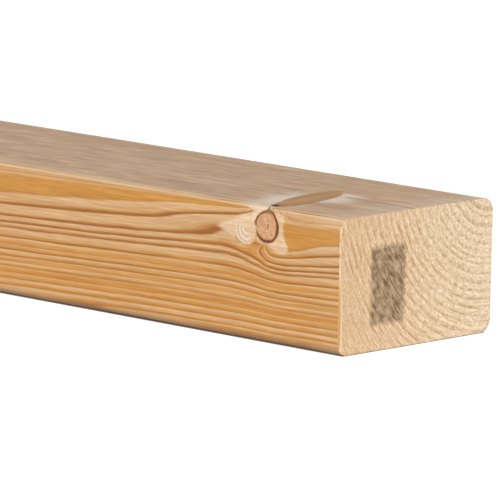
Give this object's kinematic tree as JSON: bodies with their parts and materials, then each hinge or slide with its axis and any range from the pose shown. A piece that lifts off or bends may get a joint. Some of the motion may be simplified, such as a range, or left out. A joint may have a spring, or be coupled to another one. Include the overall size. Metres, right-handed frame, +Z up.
{
  "type": "timber stud",
  "caption": "Straight planed softwood framing stud of rectangular section with rounded long edges and square sawn ends, for framing walls and partitions.",
  "frame": {"origin": "middle of the wide face that the stud lies on", "axes": "+X along the grain towards the end that shows in the picture, +Y across the wide faces, +Z up through the thickness"},
  "size_m": [2.4, 0.063, 0.038],
  "materials": {
    "planed_softwood": "bare planed softwood, golden with darker growth rings, and paler rough-sawn ends"
  },
  "bodies": {
    "root": {"timber_stud": "planed_softwood"}
  },
  "joints": []
}
